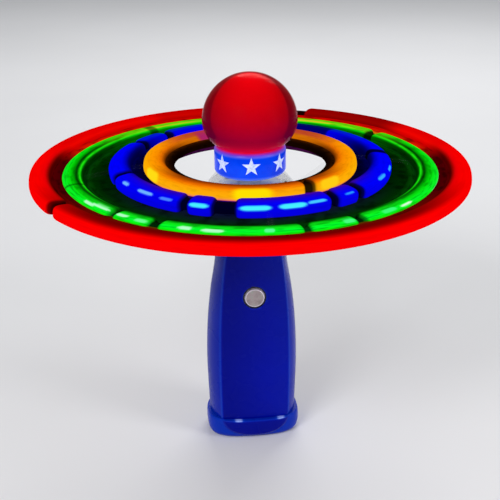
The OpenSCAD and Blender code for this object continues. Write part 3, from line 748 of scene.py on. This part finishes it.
def make_base_cap():
    levels = 44
    bottom_round = 1.2
    rings = [cap_ring(0, CAP_W[0][1] - bottom_round, CAP_D[0][1] - bottom_round)]
    for r in range(levels + 1):
        z = CAP_LIP_Z * r / levels
        rings.append(cap_ring(z, curve_value(CAP_W, z), curve_value(CAP_D, z)))
    # rounded top lip, then up the outside of the cup that fits into the handle and down to its floor
    lip, lip_rise = 0.55, 0.38
    w_top, d_top = curve_value(CAP_W, CAP_LIP_Z), curve_value(CAP_D, CAP_LIP_Z)
    for a in (25, 50, 75, 90):
        drop = lip * (1 - math.cos(math.radians(a)))
        rings.append(cap_ring(CAP_LIP_Z + lip_rise * math.sin(math.radians(a)), w_top - drop, d_top - drop))
    for z, inset in ((CAP_TOP, -0.2), (CUP_TOP, 0.0), (CUP_TOP, CUP_WALL), (CUP_FLOOR, CUP_WALL)):
        rings.append(cap_ring(z, CUP_HALF_W - inset, CUP_HALF_D - inset))
    points = [p for ring in rings for p in ring]
    faces = grid_faces(len(rings), CAP_STEPS)
    faces.append(tuple(reversed(range(CAP_STEPS))))
    faces.append(tuple(range(len(points) - CAP_STEPS, len(points))))
    cap = mesh_object("base_cap_cover", points, faces, "handle_plastic", 36)
    paint_light(cap.data, cap_painted_light)
    post = lathe("base_cap_post", [(1.1, 2.0), (3, 2.0), (3, CAP_TOP), (1.1, CAP_TOP)],
                 "handle_plastic", 40)
    to_post = Matrix.Translation((0, CAP_POST_Y * MM, 0))
    post.data.transform(to_post)
    for radius, top in ((2.2, 2.0), (1.1, 2.6)):
        hole = lathe("cutter", [(0, -1), (radius, -1), (radius, top), (0, top)], "steel", 40)
        hole.data.transform(to_post)
        cut(cap, hole)
    smooth(cap.data, 36)
    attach(cap, "base")
    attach(post, "base")
    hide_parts("base_cap")


make_base_cap()

# ---- button

BUTTON_FLANGE = 0.95


def make_button():
    front = -BUTTON_LOW.y
    radius = BUTTON_HIGH.x - BUTTON_FLANGE
    dish = [(r, front - 0.3 * (1 - (r / 4.0) ** 2)) for r in (0.0, 0.9, 1.8, 2.7, 3.3, 3.8)]
    profile = dish + [(4.3, front - 0.05), (4.5, front)] + arc(radius - 0.5, front - 0.5, 0.5, 90, 0, 8)
    profile += [(radius, front - 2.2), (radius + BUTTON_FLANGE, front - 2.2),
                (radius + BUTTON_FLANGE, front - 2.9), (0, front - 2.9)]
    button = lathe("button_cap", profile, "button_plastic", 96, 40)
    # painted highlight: the button's rim painted pale
    paint_light(button.data, lambda x, y, z: ease(4.45, 4.75, math.hypot(x, y)))
    lift = Matrix.Translation((0, 0, BUTTON_Z * MM))
    button.data.transform(lift @ Matrix.Rotation(math.radians(90), 4, "X"))
    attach(button, "button")
    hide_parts("button")


make_button()

# ---- collar and stars

STAR_COUNT = 7
STAR_R = 4.95
STAR_FRONT = CAMERA_AZIMUTH - 90 + 1.8


def make_collar():
    low, high, corner = COLLAR_LOW.z, COLLAR_HIGH.z, 2.3
    inner, bore, floor = 15.7, 3.7, low + 1.7
    profile = [(bore, low)] + arc(COLLAR_R - corner, low + corner, corner, -90, 0, 10)
    profile += arc(COLLAR_R - corner, high - corner, corner, 0, 90, 10)
    profile += [(inner + 0.2, high - 0.05), (inner, high - 0.3), (inner, floor), (bore, floor)]
    collar = lathe("star_collar", profile, "collar_plastic", 160, 40)
    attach(collar, "handle")
    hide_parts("collar")


def make_star(index):
    """A printed star, laid round the collar as a film a tenth of a millimetre thick."""
    middle_z = (COLLAR_LOW.z + COLLAR_HIGH.z) / 2 + 0.5
    middle = STAR_FRONT + 360 / STAR_COUNT * index
    film, sunk, inner_share, splits = 0.1, -0.05, 0.4, 6
    shares = (1.0, 0.97, 0.7, 0.4, 0.15)
    lift = (sunk, film, film, film, film)

    def on_collar(x, z, rise):
        return polar(middle + math.degrees(x / COLLAR_R), COLLAR_R + rise, middle_z + z)

    corners = [polar(90 + 36 * i, STAR_R * (1 if i % 2 == 0 else inner_share), 0) for i in range(10)]
    outline = []
    for (ax, az, _), (bx, bz, _) in zip(corners, corners[1:] + corners[:1]):
        outline += [(ax + (bx - ax) * i / splits, az + (bz - az) * i / splits) for i in range(splits)]
    points = []
    for share, rise in zip(shares, lift):
        points += [on_collar(x * share, z * share, rise) for x, z in outline]
    count, centre = len(outline), len(points)
    points += [on_collar(0, 0, film), on_collar(0, 0, sunk)]
    faces = grid_faces(len(shares), count)
    last = centre - count
    faces += [(last + i, last + (i + 1) % count, centre) for i in range(count)]
    faces += [((i + 1) % count, i, centre + 1) for i in range(count)]
    star = mesh_object(f"collar_star_{index + 1}", points, faces, "star_print", 30)
    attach(star, "handle")


make_collar()
for star_index in range(STAR_COUNT):
    make_star(star_index)

# ---- globe

# How far the globe would reach below its middle: less than its radius, so it is flatter there
LOWER_H = 17.6
# Gap between the lit core and the outside at the top, and how much wider it is at the middle
CORE_GAP = 0.25
CORE_DEPTH = 4.2


def globe_point(turn, gap):
    """A point of the globe's outline, turn degrees above its middle, moved in by gap."""
    a = math.radians(turn)
    height = (GLOBE_R if turn > 0 else LOWER_H) - gap
    return ((GLOBE_R - gap) * math.cos(a), GLOBE_Z + height * math.sin(a))


def make_globe():
    neck_turn = -math.degrees(math.asin((GLOBE_Z - GLOBE_NECK_Z) / LOWER_H))
    steps = 48
    turns = [neck_turn + (90 - neck_turn) * i / steps for i in range(steps + 1)]
    outer = [globe_point(t, 0.0) for t in turns]
    core = []
    for t in turns:
        depth = CORE_DEPTH * math.cos(math.radians(t * 0.96)) ** 1.7
        core.append(globe_point(t, CORE_GAP + depth * (1 - 0.8 * ease(-28, neck_turn, t))))
    outer[-1], core[-1] = (0, GLOBE_HIGH.z), (0, core[-1][1])
    low_r = outer[0][0]
    core[0] = (min(core[0][0], low_r - 0.5), core[0][1])
    foot_z = GLOBE_NECK_Z - 0.6
    foot = [(core[0][0], foot_z), (low_r - 0.6, foot_z), (low_r, GLOBE_NECK_Z - 0.2)]
    shell = lathe("globe_dome", foot + outer + list(reversed(core)), "globe_plastic", 128, 50)
    lit_low = GLOBE_NECK_Z - 2.4
    skin = 0.06
    inside = [(max(0.0, r - skin), z - skin * (1 if z > GLOBE_Z else 0)) for r, z in core]
    lit_profile = [(0, lit_low), (13.2, lit_low), (13.6, GLOBE_NECK_Z - 0.7)] + inside
    lit = lathe("globe_glow", lit_profile, "globe_core", 128, 60)
    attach(shell, "handle")
    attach(lit, "handle")
    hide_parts("globe")


make_globe()

# ---- light trails

# How much each colour's light breaks into lines along its path
STREAKS = {"red": 0.12, "green": 0.75, "blue": 0.2, "orange": 0.22}


def look_up(pairs, at):
    if at <= pairs[0][0]:
        return pairs[0][1]
    for (a, low), (b, high) in zip(pairs, pairs[1:]):
        if at <= b:
            t = (at - a) / (b - a)
            return tuple(low[i] + (high[i] - low[i]) * t for i in range(3))
    return pairs[-1][1]


# For each colour: the look in front, at the sides and behind, as (degrees round the tube, screen colour)
# from -110 to 250, where 0 is outward and 90 is up.
TUBE_LOOKS = {
    "red": (
        ((-110, (130, 5, 10)), (-60, (220, 10, 20)), (-36, (250, 0, 5)), (30, (255, 0, 0)),
         (46, (210, 0, 0)), (66, (150, 0, 0)), (90, (110, 0, 0)), (125, (100, 10, 0)),
         (180, (60, 10, 0))),
        ((-110, (130, 0, 5)), (-60, (240, 5, 5)), (-30, (250, 0, 0)), (85, (250, 0, 0)),
         (105, (230, 0, 5)), (124, (140, 5, 0)), (140, (80, 0, 0)), (180, (60, 0, 0))),
        ((-110, (110, 10, 0)), (0, (220, 0, 0)), (95, (230, 0, 0)), (125, (240, 5, 0)),
         (160, (210, 0, 0)), (195, (240, 0, 0)), (220, (180, 5, 0)), (250, (150, 40, 0))),
    ),
    "green": (
        ((-110, (60, 60, 0)), (10, (70, 100, 0)), (23, (30, 200, 5)), (34, (10, 250, 10)),
         (60, (0, 255, 50)), (80, (10, 250, 30)), (90, (15, 220, 25)), (101, (5, 150, 10)),
         (112, (0, 80, 0)), (180, (0, 50, 0))),
        ((-110, (10, 80, 0)), (-50, (0, 150, 0)), (-10, (0, 200, 5)), (20, (10, 250, 35)),
         (60, (10, 240, 35)), (84, (5, 220, 10)), (92, (0, 160, 0)), (97, (0, 80, 5)),
         (106, (0, 60, 0)), (115, (10, 170, 5)), (123, (35, 240, 20)), (131, (15, 200, 10)),
         (140, (0, 80, 0)), (152, (0, 50, 0)), (180, (0, 35, 0))),
        ((-110, (0, 60, 0)), (0, (0, 200, 0)), (95, (110, 220, 10)), (112, (120, 240, 20)),
         (128, (5, 220, 10)), (150, (0, 120, 0)), (172, (0, 90, 0)), (192, (10, 200, 10)),
         (212, (0, 90, 0)), (250, (0, 60, 0))),
    ),
    "blue": (
        ((-110, (0, 0, 40)), (-60, (0, 0, 50)), (-42, (0, 0, 80)), (-22, (5, 0, 220)),
         (60, (0, 0, 250)), (82, (10, 0, 240)), (98, (40, 0, 190)), (112, (70, 10, 160)),
         (180, (50, 0, 80))),
        ((-110, (0, 0, 70)), (-40, (0, 0, 220)), (20, (0, 0, 255)), (95, (0, 0, 250)),
         (120, (0, 0, 190)), (145, (0, 0, 110)), (180, (0, 0, 60))),
        ((-110, (0, 0, 80)), (0, (0, 0, 180)), (100, (0, 40, 200)), (130, (0, 0, 240)),
         (180, (0, 0, 240)), (222, (10, 0, 190)), (250, (60, 0, 150))),
    ),
    "orange": (
        ((-110, (120, 0, 100)), (-45, (210, 70, 110)), (-30, (250, 140, 90)), (-18, (255, 170, 30)),
         (-8, (255, 175, 10)), (18, (255, 160, 5)), (36, (250, 130, 0)), (56, (225, 100, 0)),
         (72, (190, 80, 0)), (92, (140, 55, 5)), (118, (80, 25, 0)), (180, (50, 20, 0))),
        ((-110, (150, 70, 0)), (-50, (240, 140, 0)), (-10, (255, 180, 5)), (40, (255, 170, 0)),
         (85, (255, 150, 0)), (112, (230, 110, 0)), (134, (150, 70, 0)), (155, (90, 35, 0)),
         (180, (60, 20, 0))),
        ((-110, (110, 45, 0)), (0, (180, 80, 0)), (95, (190, 70, 40)), (112, (210, 110, 10)),
         (150, (210, 110, 0)), (185, (200, 90, 0)), (215, (170, 80, 0)), (250, (130, 50, 5))),
    ),
}
# For each colour: gaps as (middle, half length, how dark), in degrees round the ring, +X being 0.
GAPS = {
    "red": ((207, 1.2, 0.85), (72.5, 7.5, 1.0), (50, 12, 0.42), (106, 6, 0.16)),
    "green": ((221, 0.6, 0.8), (236, 1.2, 0.95), (279, 0.7, 0.85), (295.5, 1.0, 0.95), (33.5, 1.6, 0.9),
              (192.5, 0.5, 0.35), (123, 1.2, 0.5)),
    "blue": ((237.5, 1.2, 0.95), (253.5, 4.0, 0.97), (297, 1.2, 0.95), (311, 1.3, 0.95),
             (194, 1.1, 0.9), (128, 1.6, 0.9), (146.5, 1.4, 0.9), (0.5, 1.6, 0.8), (50, 9.0, 0.6)),
    "orange": ((295.5, 2.3, 0.97), (97, 1.5, 0.25)),
}
CYAN, PALE, WHITE = (70, 240, 255), (110, 180, 255), (180, 255, 200)
# For each colour: bright dashes as (start, end, degrees up the tube, half width in degrees, colour).
DASHES = {
    "red": (),
    "green": ((50, 79, 104, 12, (210, 200, 30)), (104, 126, 104, 10, (180, 200, 25)),
              (190, 198, 12, 12, (80, 255, 140)), (207, 213, 64, 13, WHITE),
              (211, 219.5, 76, 10, WHITE), (222.5, 227, 72, 12, WHITE),
              (229.5, 234, 66, 14, (110, 255, 150)), (243.5, 247.5, 64, 17, WHITE),
              (250, 256.5, 60, 15, WHITE), (267, 270, 66, 19, (90, 255, 150)),
              (289.5, 293.5, 68, 20, (70, 255, 130)), (303, 309, 64, 18, (60, 255, 120)),
              (310.5, 316.5, 56, 9, (220, 255, 220)), (329, 350, 24, 8, (80, 255, 120))),
    "blue": ((203, 208, 56, 15, PALE), (214.5, 223.5, 54, 15, PALE), (227, 233, 48, 14, (70, 130, 255)),
             (240, 248, 40, 19, CYAN), (259, 271.5, 37, 22, CYAN), (273.5, 285, 39, 22, CYAN),
             (285, 293, 46, 13, (70, 200, 255)), (302, 306.5, 50, 10, (40, 150, 255)),
             (324, 332, 50, 14, (50, 170, 255)), (337.5, 344, 40, 13, (50, 170, 255))),
    "orange": ((108, 123, 128, 60, (170, 35, 100)), (52, 64, 100, 22, (200, 50, 120)),
               (192, 208, 8, 40, (255, 220, 20)), (254, 275, 6, 44, (255, 225, 0)),
               (301, 316, 8, 36, (255, 205, 20))),
}
# For each colour: the dim light inside its ring, in the same three places, from its inner edge (-1) to its
# outer edge (1).
BAND_LOOKS = {
    "red": (
        ((-1, (70, 90, 0)), (-0.45, (80, 50, 0)), (-0.2, (100, 10, 0)), (1, (120, 0, 0))),
        ((-1, (20, 0, 0)), (-0.5, (45, 0, 0)), (-0.2, (70, 0, 5)), (1, (80, 0, 0))),
        ((-1, (150, 200, 10)), (-0.65, (220, 140, 10)), (-0.3, (220, 35, 0)), (0.2, (190, 5, 0)),
         (1, (220, 0, 0))),
    ),
    "green": (
        ((-1, (10, 10, 60)), (0.0, (10, 25, 25)), (0.3, (5, 35, 5)), (0.65, (0, 50, 5)), (1, (0, 90, 0))),
        ((-1, (5, 5, 5)), (-0.5, (0, 20, 5)), (0.1, (0, 35, 0)), (0.3, (5, 60, 5)), (0.4, (0, 35, 0)),
         (0.7, (5, 70, 5)), (0.8, (0, 40, 5)), (1, (0, 60, 0))),
        ((-1, (0, 50, 120)), (-0.4, (0, 70, 90)), (0.3, (0, 80, 10)), (1, (0, 80, 0))),
    ),
    "blue": (
        ((-1, (120, 0, 120)), (-0.3, (60, 0, 110)), (0.4, (20, 0, 90)), (1, (0, 0, 120))),
        ((-1, (10, 0, 5)), (-0.2, (5, 0, 20)), (0.5, (0, 0, 50)), (1, (0, 0, 90))),
        ((-1, (60, 10, 60)), (0, (15, 0, 90)), (1, (0, 0, 110))),
    ),
    "orange": (
        ((-1, (10, 5, 0)), (0, (40, 15, 0)), (1, (100, 40, 0))),
        ((-1, (10, 0, 0)), (0, (30, 10, 0)), (1, (80, 35, 0))),
        ((-1, (20, 5, 0)), (0, (45, 15, 0)), (1, (100, 40, 0))),
    ),
}
# For each colour: where the look behind starts and is full, as the sine of the turn past the side
BEHIND = {"red": (0.08, 0.36), "green": (0.25, 0.8), "blue": (0.25, 0.8), "orange": (0.25, 0.8)}
TUBE_MARGIN = 0.3
TUBE_SQUARE = 0.66
BAND_SQUARE = 0.45
BAND_HALF_T = 1.5
# A gap darker than SOFT_GAP has a short blurred end (in degrees, times the radius), and one darker than
# NECK_GAP also narrows the tube to a neck, except within CLEAR_OF_ARM millimetres of an arm
SOFT_GAP = 0.45
GAP_BLUR = 90
NECK_GAP = 0.75
NECK = 0.58
NECK_ROUND = 3.2
CLEAR_OF_ARM = (4.5, 9)


class Ring:
    """Middle radius, height, half sizes and lean of a ring's section, from the capsule that draws it."""

    def __init__(self, colour):
        name = f"arm_1_capsule_{colour}"
        capsule = nodes[name]
        low, high = span(name)
        self.radius, self.z = (low.x + high.x) / 2, (low.z + high.z) / 2
        self.half_r = (high.x - low.x) / 2 + TUBE_MARGIN
        self.half_z = (high.y - low.y) / 2 + TUBE_MARGIN
        middle = Vector((self.radius, 0, self.z))
        offsets = [capsule.matrix_world @ v.co / MM - middle for v in capsule.data.vertices]
        uneven = sum(p.x * p.x - p.z * p.z for p in offsets)
        both = sum(p.x * p.z for p in offsets)
        self.lean = math.tan(math.atan2(2 * both, uneven) / 2)


RINGS = {colour: Ring(colour) for colour in COLOURS}


def blend_looks(colour, looks, turn, round_at):
    """The colour at a place on a ring: turn round the ring, round_at round the tube, in degrees."""
    facing = math.sin(math.radians(turn - CAMERA_AZIMUTH))
    front, behind = ease(0.25, 0.85, -facing), ease(*BEHIND[colour], facing)
    shares = (front, 1 - front - behind, behind)
    found = [look_up(look, round_at) for look in looks]
    return [sum(share * tint[i] for share, tint in zip(shares, found)) for i in range(3)]


def apart(a, b):
    """Signed turn from b to a, from -180 to 180 degrees."""
    return (a - b + 180) % 360 - 180


def darkness(colour, turn):
    """How unlit a ring is at a turn, from 0 to 1."""
    worst = 0.0
    for middle, half, dark in GAPS[colour]:
        blur = GAP_BLUR / RINGS[colour].radius if dark > SOFT_GAP else half
        off = abs(apart(turn, middle))
        worst = max(worst, dark * (1 - ease(half, half + blur, off)))
    return worst


def dash_at(colour, turn, round_at):
    """Share and colour of the brightest dash at a place."""
    best, tint = 0.0, (0, 0, 0)
    for start, end, up, half, shade_of in DASHES[colour]:
        # full along the middle of the dash, then falling off to rounded ends and soft sides
        middle, reach = (start + end) / 2, (end - start) / 2
        along = max(0.0, abs(apart(turn, middle)) - reach * 0.45) / (reach * 0.55)
        across = abs(round_at - up) / half
        share = 1 - ease(0.85 - half / 100, 1.1 + half / 200, math.hypot(along, across))
        if share > best:
            best, tint = share, shade_of
    return best, tint


def tube_colour(colour, turn, round_at):
    base = blend_looks(colour, TUBE_LOOKS[colour], turn, round_at)
    share, tint = dash_at(colour, turn, round_at)
    base = [b + (t - b) * share for b, t in zip(base, tint)]
    lit = 1 - darkness(colour, turn)
    return linear([c * (0.1 + 0.9 * lit) for c in base])[:3] + (STREAKS[colour] * (1 - share),)


def arc_mesh(points_of, colour_of, turns, around):
    """Points, faces and glow colours of a tube along turns, closed at both ends."""
    points, glow, uvs = [], [], []
    for turn in turns:
        for i in range(around):
            round_at = -110 + 360 * i / around
            points.append(points_of(turn, round_at))
            glow.append(colour_of(turn, round_at))
            uvs.append((turn / 9, i / around))
    faces = grid_faces(len(turns), around)
    faces.append(tuple(reversed(range(around))))
    faces.append(tuple(range(len(points) - around, len(points))))
    return points, faces, glow, uvs


def thickness(colour, turn):
    """Share of the full section: rounded ends each side of a gap, joined by a thinner neck."""
    radius = RINGS[colour].radius
    least = 1.0
    for middle, half, dark in GAPS[colour]:
        if dark > NECK_GAP:
            beyond = math.radians(abs(apart(turn, middle)) - half) * radius
            t = min(1.0, max(0.0, beyond / NECK_ROUND))
            least = min(least, NECK + (1 - NECK) * math.sqrt(1 - (1 - t) ** 2))
    off_arm = math.radians(abs(apart(turn, 90 * round(turn / 90)))) * radius
    return least + (1 - least) * (1 - ease(*CLEAR_OF_ARM, off_arm))


def tube_mesh(colour, turns):
    """The bright tube of light, thinner where the lamp was off."""
    ring = RINGS[colour]

    def place(turn, round_at):
        out, up = rounded(round_at, TUBE_SQUARE)
        out *= ring.half_r * thickness(colour, turn)
        up *= ring.half_z * thickness(colour, turn)
        return polar(turn, ring.radius + out - ring.lean * up, ring.z + up + ring.lean * out)

    return arc_mesh(place, lambda turn, round_at: tube_colour(colour, turn, round_at), turns, 48)


class Band:
    """A flat dim band inside a ring, from a radius and height to the ring's own tube."""

    def __init__(self, colour, inner, inner_z, drop):
        ring = RINGS[colour]
        outer = ring.radius - ring.half_r + 1.6
        self.middle, self.half = (inner + outer) / 2, (outer - inner) / 2
        self.inner_z, self.outer_z = inner_z, ring.z - drop
        self.name = colour

    def place(self, turn, round_at):
        out, up = rounded(round_at, BAND_SQUARE)
        z = self.inner_z + (self.outer_z - self.inner_z) * (out + 1) / 2
        return polar(turn, self.middle + self.half * out, z + BAND_HALF_T * up)

    def colour(self, turn, round_at):
        out = rounded(round_at, BAND_SQUARE)[0]
        return linear(blend_looks(self.name, BAND_LOOKS[self.name], turn, out))


def make_bands():
    """A band from each ring inwards, a little over and under the next ring where they cross."""
    orange, blue, green, _ = (RINGS[colour] for colour in COLOURS)
    lip = orange.radius - orange.half_r - 4.6
    return {
        "orange": Band("orange", lip, orange.z - 0.8, 0.0),
        "blue": Band("blue", orange.radius - 4.0, orange.z - 5.0, 1.5),
        "green": Band("green", blue.radius - 3.0, blue.z - 4.2, 1.2),
        "red": Band("red", green.radius + 1.5, green.z, 0.0),
    }


BANDS = make_bands()


def make_trail(colour, arm, half):
    """One eighth of a coloured ring, from the boundary between two arms to an arm."""
    arm_turn = 90 * (arm - 1)
    edge_turn = arm_turn + (45 if half == "b" else -45)
    way = arm_turn - edge_turn
    # sixtieths of the way, then finer steps by the arm, where the tube wraps its capsule
    turns = [edge_turn + way * i / 60 for i in range(56)]
    turns += [edge_turn + way * i / 180 for i in range(167, 181)]
    points, faces, glow, uvs = [], [], [], []
    band = BANDS[colour]
    for p, f, g, u in (tube_mesh(colour, turns), arc_mesh(band.place, band.colour, turns, 32)):
        first = len(points)
        points += p
        faces += [tuple(i + first for i in face) for face in f]
        glow += g
        uvs += u
    piece = mesh_object(f"light_trail_{colour}_{arm}{half}", points, faces, "trail_light", 50)
    mesh = piece.data
    colours = mesh.color_attributes.new("glow", "FLOAT_COLOR", "POINT")
    colours.data.foreach_set("color", [c for entry in glow for c in entry])
    layer = mesh.uv_layers.new(name="along")
    for loop in mesh.loops:
        layer.data[loop.index].uv = uvs[loop.vertex_index]
    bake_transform(piece)


for trail_colour in COLOURS:
    for trail_arm in ARMS:
        for trail_half in "ab":
            make_trail(trail_colour, trail_arm, trail_half)

# ---- finishes of the CAD nodes

for row in frame["record"]["subparts"]:
    node = nodes[row["node"]]
    node.data.materials.clear()
    strand = row["node"].endswith("_strand")
    node.data.materials.append(finishes["clear_strand" if strand else row["material_slot"]])
    smooth(node.data, 28)

# ---- studio


def area_light(name, place, size, power):
    data = bpy.data.lights.new(name, "AREA")
    data.shape = "RECTANGLE"
    data.size, data.size_y = size
    data.energy = power
    light = add_object(name, data)
    light.location = place
    light.rotation_euler = (Vector((0, 0, 0.1)) - Vector(place)).to_track_quat("-Z", "Y").to_euler()


def make_studio():
    n = Nodes("studio_floor")
    clouds = n.noise(n.place(), 3, 3)
    n.feed(Base_Color=n.ramp(clouds, [(0.3, (0.78, 0.78, 0.79, 1)), (0.7, (0.82, 0.82, 0.83, 1))]))
    n.set(Roughness=0.6, Specular_IOR_Level=0.2)
    reach = 6000
    corners = [(-reach, -reach, 0), (reach, -reach, 0), (reach, reach, 0), (-reach, reach, 0)]
    floor = mesh_object("studio_floor", corners, [(0, 1, 2, 3)], "studio_floor")
    area_light("key", (-0.7, -0.9, 0.9), (0.5, 0.5), 9)
    area_light("fill", (0.9, -0.6, 0.5), (0.35, 0.9), 5)
    area_light("back", (0.3, 1.0, 0.9), (0.9, 0.5), 7)
    world = bpy.data.worlds.new("studio")
    world.use_nodes = True
    background = world.node_tree.nodes["Background"]
    background.inputs["Color"].default_value = (0.9, 0.92, 0.95, 1)
    background.inputs["Strength"].default_value = 0.42
    bpy.context.scene.world = world
    bpy.context.scene.view_settings.view_transform = "Standard"


make_studio()
